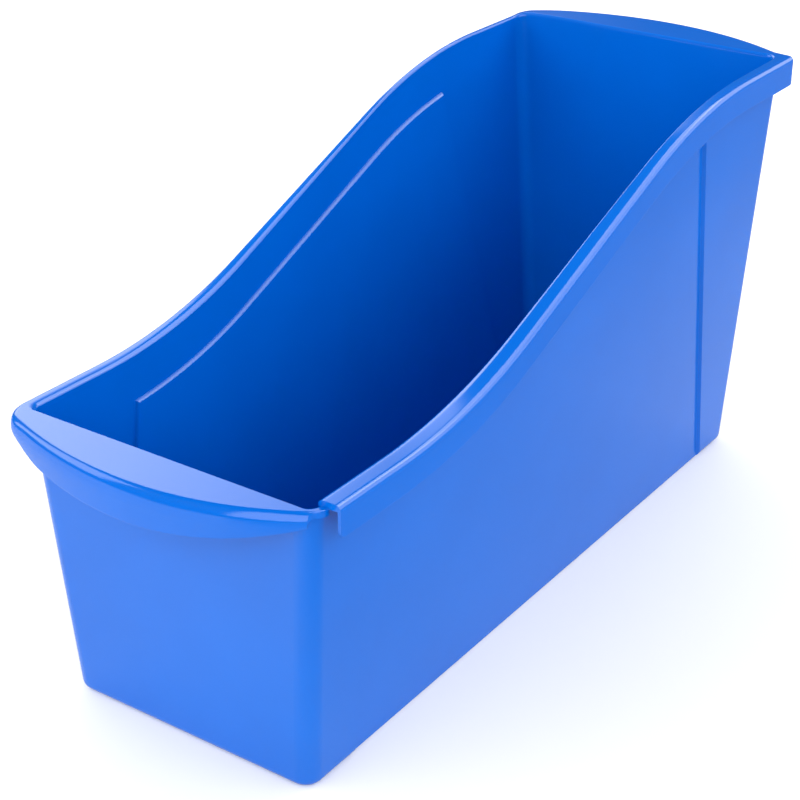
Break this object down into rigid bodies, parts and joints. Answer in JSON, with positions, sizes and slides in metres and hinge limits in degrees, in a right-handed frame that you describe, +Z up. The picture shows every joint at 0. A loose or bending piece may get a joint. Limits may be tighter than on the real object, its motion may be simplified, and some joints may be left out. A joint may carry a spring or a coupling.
{
  "type": "interlocking book bin",
  "caption": "Long narrow open-topped plastic bin with an S-shaped top edge, D-shaped pull lips at both ends, and a channel along one side that hooks over the next bin.",
  "frame": {"origin": "middle of the base, on the surface that the bin stands on", "axes": "+X towards the side with the interlocking channel, -Y towards the low front, +Y towards the high rear, +Z up"},
  "size_m": [0.1353, 0.3629, 0.1839],
  "materials": {
    "shell_plastic": "smooth glossy moulded polypropylene, saturated blue"
  },
  "bodies": {
    "root": {"floor": "shell_plastic", "front_wall": "shell_plastic", "rear_wall": "shell_plastic", "left_side_wall": "shell_plastic", "left_side_panel": "shell_plastic", "right_side_wall": "shell_plastic", "right_side_panel": "shell_plastic", "left_rim": "shell_plastic", "channel_top": "shell_plastic", "channel_flange": "shell_plastic", "front_lip_top": "shell_plastic", "front_lip_skirt": "shell_plastic", "rear_lip_top": "shell_plastic", "rear_lip_skirt": "shell_plastic"}
  },
  "joints": []
}
